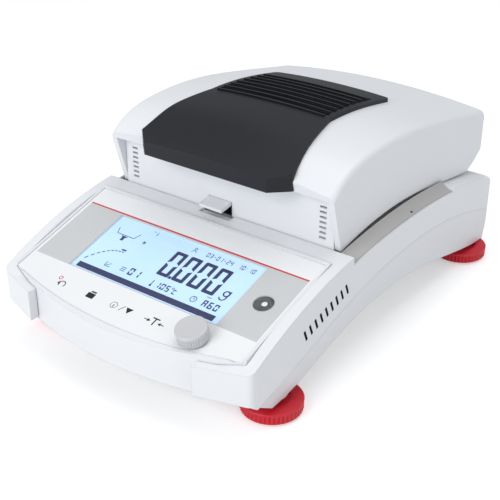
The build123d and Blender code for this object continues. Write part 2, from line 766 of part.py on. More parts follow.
with BuildPart() as deck_screws:
    with Locations(*[(x, y, DECK_Z + DECK_T) for x, y in POSTS]):
        Cylinder(SCREW_HEAD_R, SCREW_HEAD_H, align=UP)
        Cylinder(SCREW_R, SCREW_L, align=DOWN)
finish(deck_screws.part, "deck_screws")

with BuildPart() as draft_shield:
    with BuildSketch(Plane.XY.offset(DECK_Z + DECK_T)):
        with Locations((0, PAN_Y)):
            Circle(SHIELD_R)
            Circle(SHIELD_R - SHIELD_T, mode=Mode.SUBTRACT)
    extrude(amount=SHIELD_H)
finish(draft_shield.part, "draft_shield")

with BuildPart() as pan_support:
    with Locations((0, PAN_Y, CELL_Z + CELL_H - STEM_SINK)):
        Cylinder(STEM_R, PAN_SEAT_Z - CELL_Z - CELL_H + STEM_SINK, align=UP)
    with BuildSketch(Plane.XY.offset(PAN_SEAT_Z - SPIDER_T)):
        with Locations((0, PAN_Y)):
            Circle(SPIDER_HUB_R)
            with PolarLocations(SPIDER_R / 2, 3, start_angle=90):
                Rectangle(SPIDER_R, SPIDER_W)
            with PolarLocations(SPIDER_R, 3, start_angle=90):
                Circle(SPIDER_W / 2)
    extrude(amount=SPIDER_T)
finish(pan_support.part, "pan_support")

with BuildPart() as sample_pan:
    with BuildSketch(Plane.XZ.offset(-PAN_Y)):
        with BuildLine():
            low = PAN_SEAT_Z
            top = PAN_SEAT_Z + PAN_H
            Polyline(
                (0, low), (PAN_R - PAN_RIM, low), (PAN_R, top - PAN_T), (PAN_R + PAN_RIM, top - PAN_T),
                (PAN_R + PAN_RIM, top), (PAN_R - PAN_T, top), (PAN_R - PAN_RIM - PAN_T, low + PAN_T),
                (0, low + PAN_T), close=True,
            )
        make_face()
    revolve(axis=Axis((0, PAN_Y, 0), (0, 0, 1)))
finish(sample_pan.part, "sample_pan")

with BuildPart() as pan_handler:
    with BuildSketch(Plane.XY.offset(HANDLER_Z)):
        with Locations((0, PAN_Y)):
            Circle(SHIELD_R + HANDLER_LAP)
            Circle(PAN_R + GAP, mode=Mode.SUBTRACT)
        with Locations((0, PAN_Y - SHIELD_R - HANDLER_L / 2)):
            RectangleRounded(HANDLER_W, HANDLER_L + HANDLER_LAP, HANDLER_LAP)
    extrude(amount=HANDLER_T)
finish(pan_handler.part, "pan_handler")


# Lid shell: crowned top between two side rails, open underneath and at the front
def crown(x):
    """Height of the crowned top at X above its side edges."""
    return LID_CROWN * (1 - (x / LID_HALF) ** 2)


def lid_section(x, inset):
    """Side section of the lid at X. An inset section is the hollow, open at the bottom."""
    up = crown(x) - inset
    rear = LID_REAR_Y - inset
    rear_top = (rear, LID_REAR_Z + up)
    brow = (LID_BROW[0], LID_BROW[1] + up)
    top = [brow] + [(y, z + up) for y, z in LID_TOP] + [rear_top]
    with BuildSketch(Plane.YZ.offset(x)) as section:
        with BuildLine():
            Spline(*top)
            if inset:
                Polyline(rear_top, (rear, 0), (brow[0], 0), brow)
            else:
                Line(rear_top, (rear, NOTCH_Z))
                ThreePointArc((rear, NOTCH_Z), NOTCH, LID_HEEL)
                Spline(*([LID_HEEL] + list(reversed(LID_ARCH)) + [LID_FOOT]))
                Line(LID_FOOT, brow)
        make_face()
    return section.sketch


def lid_loft(inset, half):
    """Sections of the lid from side to side, for a loft."""
    return [lid_section(share * half, inset) for share in LID_SHARES]


with BuildPart() as lid_envelope:
    loft(lid_loft(0, LID_HALF))
    top_edges = lid_envelope.edges().filter_by(
        lambda e: abs(abs(e.center().X) - LID_HALF) < GAP and e.center().Z > LID_REAR_Z
    )
    fillet(top_edges, LID_EDGE_R)

with BuildPart() as lid_hollow:
    loft(lid_loft(LID_WALL, LID_HALF - LID_WALL))
    with Locations((0, LID_FRONT_Y + FRONT_PANEL_T - BIG / 2, 0)):
        Box(BIG, BIG, BIG, mode=Mode.SUBTRACT)

with BuildPart() as lid_shell:
    add(lid_envelope.part)
    add(lid_hollow.part, mode=Mode.SUBTRACT)
    # Recess for the front panel between the rails, under the visor
    with Locations((0, LID_FRONT_Y + FRONT_PANEL_T, VISOR_Z)):
        Box(2 * FRONT_PANEL_HALF, BIG, BIG, align=BACK_DOWN, mode=Mode.SUBTRACT)
    # Opening under the louvres of the heater cover
    with Locations((0, LOUVRE_MID_Y, LID_REAR_Z)):
        Box(2 * LOUVRE_HALF, LOUVRE_SPAN, BIG, align=UP, mode=Mode.SUBTRACT)
finish(lid_shell.part, "lid_shell")

with BuildPart() as lid_front_panel:
    with Locations((0, LID_FRONT_Y, LID_FOOT[1])):
        Box(2 * (FRONT_PANEL_HALF - GAP), FRONT_PANEL_T, VISOR_Z - LID_FOOT[1],
            align=(Align.CENTER, Align.MIN, Align.MIN))
    with Locations((TAB_X, LID_FRONT_Y, LID_FOOT[1])):
        Box(TAB_W, BIG, NOTCH_H, align=UP, mode=Mode.SUBTRACT)
    for row in range(VENT_COUNT):
        with Locations(*[(side * VENT_X, LID_FRONT_Y, VENT_TOP_Z - row * VENT_PITCH) for side in MIRROR_X]):
            Box(VENT_W, BIG, VENT_H, mode=Mode.SUBTRACT)
finish(lid_front_panel.part, "lid_front_panel")

with BuildPart() as lid_tab:
    with BuildSketch(Plane.YZ.offset(TAB_X - TAB_W / 2 + GAP)):
        with BuildLine():
            back = LID_FRONT_Y + FRONT_PANEL_T + TAB_T
            root = LID_FOOT[1] + NOTCH_H
            Polyline(
                (LID_FRONT_Y - TAB_OUT, root - TAB_DROP - TAB_T), (LID_FRONT_Y - TAB_OUT, root - TAB_DROP),
                (LID_FRONT_Y, root - GAP), (back - TAB_T, root - GAP), (back - TAB_T, root + TAB_RISE),
                (back, root + TAB_RISE), (back, root - TAB_T - GAP), (LID_FRONT_Y, root - TAB_T - GAP),
                close=True,
            )
        make_face()
    extrude(amount=TAB_W - 2 * GAP)
finish(lid_tab.part, "lid_tab")


# Black heater cover with its louvres
def cover_section(x, rise):
    """Side section of the heater cover at X, its underside flat and cut away by the lid later."""
    up = crown(x) + rise
    tail = LID_TOP[-1]
    before = LID_TOP[-2]
    share = (COVER_REAR_Y - before[0]) / (tail[0] - before[0])
    rear_z = before[1] + (tail[1] - before[1]) * share + up
    nose = (COVER_FRONT_Y, COVER_NOSE_Z + crown(x) + rise - COVER_RISE)
    top = [nose] + [(y, z + up) for y, z in LID_TOP if y < COVER_REAR_Y] + [(COVER_REAR_Y, rear_z)]
    with BuildSketch(Plane.YZ.offset(x)) as section:
        with BuildLine():
            Spline(*top)
            Polyline((COVER_REAR_Y, rear_z), (COVER_REAR_Y, COVER_LOW_Z), (COVER_FRONT_Y, COVER_LOW_Z), nose)
        make_face()
    return section.sketch


def cover_plan():
    """Plan outline of the heater cover, wide at the front and parallel at the rear."""
    right = [
        (COVER_FRONT_HALF, COVER_FRONT_Y), (COVER_WIDE_HALF, COVER_WIDE_Y),
        (COVER_REAR_HALF, COVER_TAPER_Y), (COVER_REAR_HALF, COVER_REAR_Y),
    ]
    left = [(-x, y) for x, y in reversed(right)]
    with BuildSketch() as plan:
        with BuildLine():
            Polyline(*(right + left), close=True)
        make_face()
        fillet(plan.vertices().group_by(Axis.Y)[-1], COVER_CORNER_R)
    return plan.sketch


def louvre_y(count):
    """Middle of one louvre slot."""
    return LOUVRE_Y + count * LOUVRE_PITCH


with BuildPart() as blade_stack:
    for count in range(LOUVRE_COUNT):
        foot = louvre_y(count) - LOUVRE_SLOT / 2 - BLADE_T / 2
        with Locations(Location((0, foot, BLADE_Z), (BLADE_LEAN, 0, 0))):
            Box(2 * LOUVRE_HALF - BLADE_T, BLADE_T, BLADE_L)

with BuildPart() as louvre_blades:
    loft([cover_section(share * COVER_LOFT_HALF, COVER_RISE + BLADE_RISE) for share in COVER_SHARES])
    add(blade_stack.part, mode=Mode.INTERSECT)

with BuildPart() as heater_cover:
    loft([cover_section(share * COVER_LOFT_HALF, COVER_RISE) for share in COVER_SHARES])
    extrude(cover_plan(), BIG, mode=Mode.INTERSECT)
    for count in range(LOUVRE_COUNT):
        with Locations((0, louvre_y(count), LID_REAR_Z)):
            Box(2 * LOUVRE_HALF, LOUVRE_SLOT, BIG, align=UP, mode=Mode.SUBTRACT)
    add(louvre_blades.part)
    add(lid_envelope.part, mode=Mode.SUBTRACT)
finish(heater_cover.part, "heater_cover")


# Heating unit inside the lid
with BuildPart() as lid_liner:
    with BuildSketch(Plane.XY.offset(LINER_Z)):
        with BuildLine():
            x = LID_HALF - LID_WALL - GAP
            front = LID_FRONT_Y + FRONT_PANEL_T
            Polyline((-x, front), (x, front), (x, LINER_REAR_Y), (-x, LINER_REAR_Y), close=True)
        make_face()
        with Locations((0, PAN_Y)):
            Circle(LINER_HOLE_R, mode=Mode.SUBTRACT)
        with Locations((TAB_X, front)):
            Rectangle(TAB_W + 2 * GAP, 4 * TAB_T, mode=Mode.SUBTRACT)
    extrude(amount=LINER_T)
    with BuildSketch(Plane.XY.offset(LINER_Z + LINER_T)):
        with Locations(*LINER_POSTS):
            Circle(POST_R)
    extrude(amount=LID_REAR_Z + LID_CROWN - LINER_Z)
    add(lid_hollow.part, mode=Mode.INTERSECT)
finish(lid_liner.part, "lid_liner")

with BuildPart() as glass_shield:
    with Locations((0, PAN_Y, LINER_Z + LINER_T)):
        Cylinder(GLASS_R, GLASS_T, align=UP)
finish(glass_shield.part, "glass_shield")

with BuildPart() as glass_retainer:
    with BuildSketch(Plane.XY.offset(LINER_Z + LINER_T)):
        with Locations((0, PAN_Y)):
            Circle(RETAINER_R)
            Circle(GLASS_R, mode=Mode.SUBTRACT)
    extrude(amount=GLASS_T)
    with BuildSketch(Plane.XY.offset(LINER_Z + LINER_T + GLASS_T)):
        with Locations((0, PAN_Y)):
            Circle(RETAINER_R)
            Circle(LINER_HOLE_R, mode=Mode.SUBTRACT)
    extrude(amount=RETAINER_T)
finish(glass_retainer.part, "glass_retainer")

REFLECTOR_Z = LINER_Z + LINER_T + GLASS_T + RETAINER_T
with BuildPart() as reflector:
    with BuildSketch(Plane.XZ.offset(-PAN_Y)):
        with BuildLine():
            top = REFLECTOR_Z + REFLECTOR_H
            Polyline(
                (RETAINER_R, REFLECTOR_Z), (REFLECTOR_NECK, top), (0, top), (0, top - REFLECTOR_T),
                (REFLECTOR_NECK - REFLECTOR_T, top - REFLECTOR_T),
                (RETAINER_R - 2 * REFLECTOR_T, REFLECTOR_Z),
                close=True,
            )
        make_face()
    revolve(axis=Axis((0, PAN_Y, 0), (0, 0, 1)))
    with Locations(*[(side * SOCKET_X, PAN_Y + LAMP_R, REFLECTOR_Z + REFLECTOR_H) for side in MIRROR_X]):
        Cylinder(SOCKET_R, 4 * REFLECTOR_T, mode=Mode.SUBTRACT)
    with Locations((0, PAN_Y, REFLECTOR_Z + REFLECTOR_H)):
        Cylinder(SENSOR_R, 4 * REFLECTOR_T, mode=Mode.SUBTRACT)
finish(reflector.part, "reflector")

with BuildPart() as halogen_lamp:
    with BuildSketch(Plane.XZ.offset(-PAN_Y)):
        with Locations((LAMP_R, REFLECTOR_Z + LAMP_DROP)):
            RegularPolygon(LAMP_TUBE, LAMP_SIDES)
    revolve(axis=Axis((0, PAN_Y, 0), (0, 0, 1)))
    with Locations(*[(side * SOCKET_X, PAN_Y + LAMP_R, REFLECTOR_Z + LAMP_DROP) for side in MIRROR_X]):
        Cylinder(LAMP_LEG_R, REFLECTOR_H - LAMP_DROP, align=UP)
finish(halogen_lamp.part, "halogen_lamp")

with BuildPart() as lamp_sockets:
    with Locations(*[(side * SOCKET_X, PAN_Y + LAMP_R, REFLECTOR_Z + REFLECTOR_H) for side in MIRROR_X]):
        Cylinder(LAMP_CAP_R, SOCKET_H, align=UP)
finish(lamp_sockets.part, "lamp_sockets")

with BuildPart() as temperature_sensor:
    with Locations((0, PAN_Y, REFLECTOR_Z + REFLECTOR_H)):
        Cylinder(2 * SENSOR_R, SOCKET_H, align=UP)
        Cylinder(SENSOR_R, SENSOR_DROP, align=DOWN)
finish(temperature_sensor.part, "temperature_sensor")


# Lid hinge: lugs on the housing, leaves on the lid, one pin in each
with BuildPart() as hinge_brackets:
    for side in MIRROR_X:
        with BuildSketch(Plane.YZ.offset(side * HINGE_X - KNUCKLE_W / 2 - GAP - LUG_T)):
            with Locations((HINGE_Y, HINGE_Z)):
                Circle(KNUCKLE_R)
            with Locations((HINGE_Y - KNUCKLE_R, HINGE_Z)):
                Rectangle(KNUCKLE_R + LUG_BACK, HINGE_Z - DECK_Z + LUG_ROOT, align=(Align.MIN, Align.MAX))
        extrude(amount=KNUCKLE_W + 2 * GAP + 2 * LUG_T)
        with Locations((side * HINGE_X, HINGE_Y, HINGE_Z - KNUCKLE_R - GAP)):
            Box(KNUCKLE_W + 2 * GAP, 4 * KNUCKLE_R, BIG, align=UP, mode=Mode.SUBTRACT)
    with Locations((0, HINGE_Y, HINGE_Z)):
        Cylinder(PIN_R, BIG, rotation=(0, 90, 0), mode=Mode.SUBTRACT)
    extrude(housing_section(0, 0.0), HALF, both=True, mode=Mode.SUBTRACT)
finish(hinge_brackets.part, "hinge_brackets")

with BuildPart() as hinge_pins:
    with Locations(*[(side * HINGE_X, HINGE_Y, HINGE_Z) for side in MIRROR_X]):
        Cylinder(PIN_R, KNUCKLE_W + 2 * GAP + 2 * LUG_T, rotation=(0, 90, 0))
finish(hinge_pins.part, "hinge_pins")

with BuildPart() as hinge_leaves:
    for side in MIRROR_X:
        with BuildSketch(Plane.YZ.offset(side * HINGE_X - KNUCKLE_W / 2)):
            with Locations((HINGE_Y, HINGE_Z)):
                Circle(KNUCKLE_R)
                Rectangle(2 * KNUCKLE_R, LINER_Z - HINGE_Z, align=(Align.CENTER, Align.MIN))
            with BuildLine():
                Polyline(
                    (HINGE_Y + KNUCKLE_R, LINER_Z), (HINGE_Y - LEAF_L, LINER_Z),
                    (HINGE_Y - LEAF_L, LINER_Z - LEAF_T), (HINGE_Y + KNUCKLE_R, LINER_Z - LEAF_T), close=True,
                )
            make_face()
            with Locations((HINGE_Y, HINGE_Z)):
                Circle(PIN_R + RUN, mode=Mode.SUBTRACT)
        extrude(amount=KNUCKLE_W)
finish(hinge_leaves.part, "hinge_leaves")


# Electronics and rear sockets
with BuildPart() as main_board:
    with Locations((0, MAIN_BOARD_Y, MAIN_BOARD_Z)):
        Box(MAIN_BOARD_W, MAIN_BOARD_D, BOARD_T, align=UP)
    with Locations((CHIP_X, MAIN_BOARD_Y, MAIN_BOARD_Z + BOARD_T)):
        Box(CHIP_W, CHIP_W, CHIP_H, align=UP)
    with Locations((PLUG_X, MAIN_BOARD_Y + PLUG_W, MAIN_BOARD_Z + BOARD_T)):
        Box(PLUG_L, PLUG_W, PLUG_H, align=UP)
finish(main_board.part, "main_board")

with BuildPart() as power_supply:
    with Locations((POWER_X, POWER_Y, 0)):
        Box(POWER_W, POWER_D, POWER_TOP, align=UP)
    fillet(power_supply.edges().filter_by(Axis.Z), POWER_EDGE)
    add(tray_hollow.part, mode=Mode.INTERSECT)
finish(power_supply.part, "power_supply")


def rear_socket(x, width, height):
    """Socket body in the rear wall with a recess in its face."""
    with BuildPart() as socket:
        with Locations((x, REAR_Y, SOCKET_Z)):
            Box(width, SOCKET_DEPTH, height, align=(Align.CENTER, Align.MAX, Align.CENTER))
            Box(width - 2 * SOCKET_RIM, 2 * SOCKET_RECESS, height - 2 * SOCKET_RIM, mode=Mode.SUBTRACT)
    return socket.part


for name, (x, width, height) in zip(SOCKET_NAMES, SOCKETS):
    finish(rear_socket(x, width, height), name)


# Levelling feet
with BuildPart() as foot_inserts:
    with Locations(*[(x, y, INSERT_LOW) for x, y in foot_places()]):
        Cylinder(INSERT_R, INSERT_H, align=UP)
        Cylinder(STUD_R + RUN, INSERT_H, align=UP, mode=Mode.SUBTRACT)
finish(foot_inserts.part, "foot_inserts")

FOOT_NAMES = ("front_left", "front_right", "rear_left", "rear_right")
for name, (x, y) in zip(FOOT_NAMES, foot_places()):
    with BuildPart() as wheel:
        with Locations((x, y, WHEEL_LOW)):
            Cylinder(WHEEL_R, WHEEL_H, align=UP)
        chamfer(wheel.edges().filter_by(GeomType.CIRCLE), WHEEL_EDGE)
        with BuildSketch(Plane.XY.offset(WHEEL_LOW)):
            with Locations((x, y)):
                with PolarLocations(WHEEL_R + FLUTE_R / 2, WHEEL_GROOVES):
                    RegularPolygon(FLUTE_R, 6)
        extrude(amount=WHEEL_H - WHEEL_LIP, mode=Mode.SUBTRACT)
        with Locations((x, y, WHEEL_LOW + WHEEL_H)):
            Cylinder(STUD_R, STUD_L, align=UP)
        with Locations((x, y, 0)):
            Cylinder(PAD_R + GAP, PAD_T + GAP, align=UP, mode=Mode.SUBTRACT)
            Cylinder(PAD_PIN_R + RUN, PAD_PIN_H + GAP, align=UP, mode=Mode.SUBTRACT)
    finish(wheel.part, f"{name}_wheel")
    with BuildPart() as pad:
        with Locations((x, y, 0)):
            Cylinder(PAD_R, PAD_T, align=UP)
            Cylinder(PAD_PIN_R, PAD_PIN_H, align=UP)
    finish(pad.part, f"{name}_pad")
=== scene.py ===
"""Looks of the bench moisture analyzer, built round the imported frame. Lengths are in metres."""

import json
import math

import bmesh
import bpy
from mathutils import Matrix, Vector


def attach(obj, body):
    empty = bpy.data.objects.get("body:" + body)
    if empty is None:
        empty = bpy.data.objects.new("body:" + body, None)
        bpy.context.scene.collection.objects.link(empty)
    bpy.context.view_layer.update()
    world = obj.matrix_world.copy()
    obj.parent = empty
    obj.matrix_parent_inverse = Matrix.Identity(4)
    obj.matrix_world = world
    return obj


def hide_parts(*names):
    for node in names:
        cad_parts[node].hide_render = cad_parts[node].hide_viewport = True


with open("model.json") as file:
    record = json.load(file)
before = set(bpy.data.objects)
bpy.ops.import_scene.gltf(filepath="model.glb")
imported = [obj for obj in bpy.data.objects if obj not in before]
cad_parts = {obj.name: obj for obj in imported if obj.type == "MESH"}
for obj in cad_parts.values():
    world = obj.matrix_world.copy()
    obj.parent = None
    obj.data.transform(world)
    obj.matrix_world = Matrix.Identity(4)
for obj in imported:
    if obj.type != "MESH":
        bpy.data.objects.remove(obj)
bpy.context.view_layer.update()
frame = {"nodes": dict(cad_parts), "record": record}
NODES = frame["nodes"]
MM = 0.001

# Sloped panel, as in the CAD source: u across, v up the slope, w off the surface, in mm
TILT = math.radians(16.36)
PANEL_POINT = Vector((0, -75.4, 75.8))
ACROSS = Vector((1, 0, 0))
UPHILL = Vector((0, math.cos(TILT), math.sin(TILT)))
OUTWARD = Vector((0, -math.sin(TILT), math.cos(TILT)))

FEET = {
    "front_left": (-90.5, -110.0), "front_right": (90.5, -110.0),
    "rear_left": (-90.5, 145.0), "rear_right": (90.5, 145.0),
}
KNOB_UV = (57.5, -71.0)
LEVEL_UV = (78.3, -28.4)
BAND_HALF = 93.0  # grey band and red line of the overlay
BAND_LOW_V, LINE_LOW_V, LINE_HIGH_V = -56.6, -0.55, 0.7
DISPLAY_DEEP = -1.44  # the display's marks lie just over the liquid crystal, under the window


def on_panel(u, v, w=0.0):
    """Point in the frame for a point of the sloped panel."""
    return (PANEL_POINT + ACROSS * u + UPHILL * v + OUTWARD * w) * MM


# Materials
def start_material(name):
    """Empty node material with a principled shader. Returns the material, its tree and the shader."""
    material = bpy.data.materials.new(name)
    material.use_nodes = True
    tree = material.node_tree
    tree.nodes.clear()
    output = tree.nodes.new("ShaderNodeOutputMaterial")
    shader = tree.nodes.new("ShaderNodeBsdfPrincipled")
    tree.links.new(shader.outputs["BSDF"], output.inputs["Surface"])
    return material, tree, shader


def object_noise(tree, scale, detail=3.0, stretch=None):
    """Noise over the object's own coordinates; stretch scales it along each axis."""
    coord = tree.nodes.new("ShaderNodeTexCoord")
    noise = tree.nodes.new("ShaderNodeTexNoise")
    noise.inputs["Scale"].default_value = scale
    noise.inputs["Detail"].default_value = detail
    source = coord.outputs["Object"]
    if stretch:
        mapping = tree.nodes.new("ShaderNodeMapping")
        mapping.inputs["Scale"].default_value = stretch
        tree.links.new(source, mapping.inputs["Vector"])
        source = mapping.outputs["Vector"]
    tree.links.new(source, noise.inputs["Vector"])
    return noise.outputs["Fac"]


def remap(tree, source, low, high):
    """Maps a 0 to 1 value to low to high."""
    node = tree.nodes.new("ShaderNodeMapRange")
    node.inputs["To Min"].default_value = low
    node.inputs["To Max"].default_value = high
    tree.links.new(source, node.inputs["Value"])
    return node.outputs["Result"]


def mix_colours(tree, factor, first, second):
    """Mix of two colours, each a tuple or a socket."""
    node = tree.nodes.new("ShaderNodeMix")
    node.data_type = "RGBA"
    tree.links.new(factor, node.inputs["Factor"])
    for name, value in (("A", first), ("B", second)):
        socket = [s for s in node.inputs if s.name == name and s.type == "RGBA"][0]
        if isinstance(value, tuple):
            socket.default_value = (*value, 1.0)
        else:
            tree.links.new(value, socket)
    return [s for s in node.outputs if s.type == "RGBA"][0]


def relief(tree, shader, grain, height, depth, edge):
    """Fine bump over softened edges."""
    bump = tree.nodes.new("ShaderNodeBump")
    bump.inputs["Strength"].default_value = height
    bump.inputs["Distance"].default_value = depth
    tree.links.new(grain, bump.inputs["Height"])
    if edge:
        bevel = tree.nodes.new("ShaderNodeBevel")
        bevel.samples = 4
        bevel.inputs["Radius"].default_value = edge
        tree.links.new(bevel.outputs["Normal"], bump.inputs["Normal"])
    tree.links.new(bump.outputs["Normal"], shader.inputs["Normal"])


def plastic(name, colour, rough=0.42, vary=0.03, grain=1800.0, height=0.25, edge=0.0006, coat=0.0,
            specular=0.5):
    """Moulded plastic: a fine eroded grain, slight shade changes and uneven gloss."""
    material, tree, shader = start_material(name)
    broad = object_noise(tree, 18.0, 4.0)
    fine = object_noise(tree, grain, 2.0)
    darker = tuple(c * (1 - vary) for c in colour)
    tree.links.new(mix_colours(tree, broad, darker, colour), shader.inputs["Base Color"])
    tree.links.new(remap(tree, broad, rough - 0.05, rough + 0.07), shader.inputs["Roughness"])
    shader.inputs["Specular IOR Level"].default_value = specular
    shader.inputs["Coat Weight"].default_value = coat
    shader.inputs["Coat Roughness"].default_value = 0.15
    relief(tree, shader, fine, height, 0.00002, edge)
    return material


def metal(name, colour, rough=0.3, stretch=(1.0, 18.0, 1.0), grain=500.0, edge=0.0002):
    """Brushed or turned metal: the grain runs across the stretched axis."""
    material, tree, shader = start_material(name)
    lines = object_noise(tree, grain, 3.0, stretch)
    broad = object_noise(tree, 25.0, 3.0)
    darker = tuple(c * 0.86 for c in colour)
    tree.links.new(mix_colours(tree, lines, darker, colour), shader.inputs["Base Color"])
    tree.links.new(remap(tree, broad, rough - 0.07, rough + 0.1), shader.inputs["Roughness"])
    shader.inputs["Metallic"].default_value = 1.0
    relief(tree, shader, lines, 0.2, 0.00002, edge)
    return material


def clear(name, colour, alpha, rough=0.05):
    """Clear glass or film that shows what lies behind it, with faint smears in its gloss."""
    material, tree, shader = start_material(name)
    smear = object_noise(tree, 40.0, 5.0)
    tree.links.new(remap(tree, smear, rough, rough + 0.08), shader.inputs["Roughness"])
    darker = tuple(c * 0.94 for c in colour)
    tree.links.new(mix_colours(tree, smear, darker, colour), shader.inputs["Base Color"])
    shader.inputs["Alpha"].default_value = alpha
    relief(tree, shader, smear, 0.02, 0.00002, 0.0)
    return material


def printed_overlay():
    """Satin film: white, with a light grey band behind the display and a thin red line over it."""
    material, tree, shader = start_material("printed_overlay")
    coord = tree.nodes.new("ShaderNodeTexCoord")
    shift = tree.nodes.new("ShaderNodeVectorMath")
    shift.operation = "SUBTRACT"
    shift.inputs[1].default_value = PANEL_POINT * MM
    tree.links.new(coord.outputs["Object"], shift.inputs[0])

    def along(direction):
        dot = tree.nodes.new("ShaderNodeVectorMath")
        dot.operation = "DOT_PRODUCT"
        dot.inputs[1].default_value = direction / MM
        tree.links.new(shift.outputs["Vector"], dot.inputs[0])
        return dot.outputs["Value"]

    def math_node(operation, first, second):
        node = tree.nodes.new("ShaderNodeMath")
        node.operation = operation
        for socket, value in zip(node.inputs, (first, second)):
            if isinstance(value, float):
                socket.default_value = value
            else:
                tree.links.new(value, socket)
        return node.outputs["Value"]

    u = math_node("ABSOLUTE", along(ACROSS), 0.0)
    v = along(UPHILL)

    def band(low, high):
        inside = math_node("GREATER_THAN", v, low)
        inside = math_node("MULTIPLY", inside, math_node("LESS_THAN", v, high))
        return math_node("MULTIPLY", inside, math_node("LESS_THAN", u, BAND_HALF))

    broad = object_noise(tree, 22.0, 3.0)
    fine = object_noise(tree, 2600.0, 2.0)
    white = mix_colours(tree, broad, (0.83, 0.84, 0.85), (0.86, 0.87, 0.88))
    grey = mix_colours(tree, broad, (0.57, 0.58, 0.58), (0.60, 0.61, 0.61))
    red = mix_colours(tree, fine, (0.58, 0.02, 0.05), (0.62, 0.03, 0.06))
    colour = mix_colours(tree, band(BAND_LOW_V, LINE_LOW_V), white, grey)
    colour = mix_colours(tree, band(LINE_LOW_V, LINE_HIGH_V), colour, red)
    tree.links.new(colour, shader.inputs["Base Color"])
    tree.links.new(remap(tree, broad, 0.30, 0.40), shader.inputs["Roughness"])
    relief(tree, shader, fine, 0.15, 0.00001, 0.0002)
    return material


def lit_display():
    """Backlit liquid crystal: pale blue, its tone changing at random, with a faint glow of its own."""
    material, tree, shader = start_material("lit_display")
    broad = object_noise(tree, 14.0, 2.0)
    fine = object_noise(tree, 1500.0, 1.0)
    pale = mix_colours(tree, broad, (0.40, 0.62, 0.94), (0.56, 0.75, 0.98))
    tree.links.new(pale, shader.inputs["Base Color"])
    tree.links.new(pale, shader.inputs["Emission Color"])
    shader.inputs["Emission Strength"].default_value = 0.28
    tree.links.new(remap(tree, fine, 0.30, 0.40), shader.inputs["Roughness"])
    relief(tree, shader, fine, 0.03, 0.00001, 0.0)
    return material


WHITE = (0.80, 0.81, 0.83)
MATERIALS = {
    "white_shell": plastic("shell_plastic", WHITE, 0.40, edge=0.0008),
    "white_tray": plastic("tray_plastic", (0.79, 0.80, 0.82), 0.46, edge=0.0008),
    "black_cover": plastic("cover_plastic", (0.013, 0.0135, 0.018), 0.50, 0.18, 1500.0, 0.6, 0.0005,
                           specular=0.3),
    "overlay_film": printed_overlay(),
    "window": clear("display_window_clear", (0.92, 0.96, 1.0), 0.04),
    "lcd": lit_display(),
    "backlight": plastic("diffuser_plastic", (0.80, 0.83, 0.86), 0.5),
    "level_fluid": clear("level_fluid_clear", (0.42, 0.43, 0.43), 0.97, 0.12),
    "grey_strip": plastic("strip_plastic", (0.47, 0.46, 0.45), 0.50, 0.06, 900.0, 0.5),
    "board": plastic("board_resin", (0.02, 0.14, 0.06), 0.45, 0.2, 400.0, 0.4, 0.0),
    "key_cap": plastic("key_plastic", (0.10, 0.10, 0.11), 0.5),
    "knob_metal": plastic("knob_plastic", (0.58, 0.585, 0.60), 0.33, 0.05, 1600.0, 0.3, 0.0002, 0.1),
    "steel": metal("brushed_steel", (0.55, 0.56, 0.57), 0.30),
    "aluminium": metal("milled_aluminium", (0.74, 0.75, 0.76), 0.28, (1.0, 1.0, 12.0), 350.0),
    "brass": metal("turned_brass", (0.70, 0.50, 0.22), 0.28, (1.0, 1.0, 30.0)),
    "reflector_metal": metal("polished_reflector", (0.86, 0.86, 0.87), 0.14, (1.0, 1.0, 4.0), 200.0),
    "chamber_glass": clear("chamber_glass_clear", (0.86, 0.93, 0.93), 0.16),
    "lamp_glass": clear("lamp_quartz", (0.93, 0.90, 0.84), 0.55, 0.1),
    "ceramic_cap": plastic("lamp_ceramic", (0.78, 0.76, 0.70), 0.7, 0.08, 700.0, 0.6),
    "black_socket": plastic("socket_plastic", (0.018, 0.018, 0.02), 0.42, 0.2, 1300.0, 0.4),
    "red_wheel": plastic("wheel_plastic", (0.66, 0.009, 0.026), 0.42, 0.10, 1500.0, 0.3, 0.0003),
    "rubber_pad": plastic("pad_rubber", (0.02, 0.02, 0.02), 0.85, 0.25, 800.0, 0.9),
}
INK = plastic("navy_ink", (0.008, 0.012, 0.10), 0.4, 0.15, 1200.0, 0.1, 0.0)
DARK_INK = plastic("dark_ink", (0.012, 0.012, 0.014), 0.4, 0.15, 1200.0, 0.1, 0.0)
RED_INK = plastic("red_ink", (0.55, 0.02, 0.05), 0.4, 0.1, 1200.0, 0.1, 0.0)
BUBBLE = clear("bubble_clear", (0.90, 0.93, 0.93), 0.90)
SHADE = plastic("inside_shade", (0.010, 0.010, 0.011), 0.8, 0.2, 600.0, 0.4, 0.0)

for part in frame["record"]["subparts"]:
    node = NODES[part["node"]]
    node.data.materials.clear()
    node.data.materials.append(MATERIALS[part["material_slot"]])


# Mesh helpers
def make_object(name, mesh):
    """Writes a bmesh as an object of the scene."""
    data = bpy.data.meshes.new(name)
    bmesh.ops.recalc_face_normals(mesh, faces=mesh.faces[:])
    mesh.to_mesh(data)
    mesh.free()
    thing = bpy.data.objects.new(name, data)
    bpy.context.scene.collection.objects.link(thing)
    return thing


def add_mesh(name, mesh, material, body):
    """Writes a bmesh as a piece that rides on a CAD body."""
    piece = make_object(name, mesh)
    piece.data.materials.append(material)
    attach(piece, body)
    return piece


def prism(mesh, outline, low, high, place):
    """Closed prism over an outline of (u, v) points between two heights."""
    bottom = [mesh.verts.new(place(u, v, low)) for u, v in outline]
    top = [mesh.verts.new(place(u, v, high)) for u, v in outline]
    mesh.faces.new(bottom[::-1])
    mesh.faces.new(top)
    count = len(outline)
    for i in range(count):
        j = (i + 1) % count
        mesh.faces.new((bottom[i], bottom[j], top[j], top[i]))


